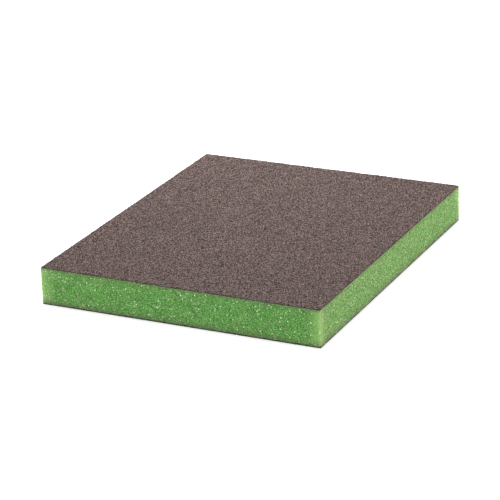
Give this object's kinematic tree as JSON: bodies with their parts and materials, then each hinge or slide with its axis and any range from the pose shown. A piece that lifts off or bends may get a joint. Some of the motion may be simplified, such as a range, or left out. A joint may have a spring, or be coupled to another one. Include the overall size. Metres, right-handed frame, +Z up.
{
  "type": "flexible foam sanding pad",
  "caption": "Flat rectangular hand sanding pad: a springy open-cell foam core with fine abrasive grain bonded in resin to its upper and lower faces, and bare foam on its cut sides.",
  "frame": {"origin": "centre of the lower sanding face, on the surface that the pad lies on", "axes": "+Z up through the thickness, +Y along the longer side, +X across the shorter side"},
  "size_m": [0.098, 0.12, 0.013],
  "materials": {
    "foam": "matte open-cell polyurethane foam, cut faces with fine pores and small glints",
    "make_coat": "cured dark brown resin",
    "abrasive_grain": "fine brown aluminium oxide grain, rough and matte with small bright facets",
    "size_coat": "thin brown resin over the grain, dull satin"
  },
  "bodies": {
    "root": {"foam_core": "foam", "top_make_coat": "make_coat", "top_abrasive_grain": "abrasive_grain", "top_size_coat": "size_coat", "bottom_make_coat": "make_coat", "bottom_abrasive_grain": "abrasive_grain", "bottom_size_coat": "size_coat"}
  },
  "joints": []
}
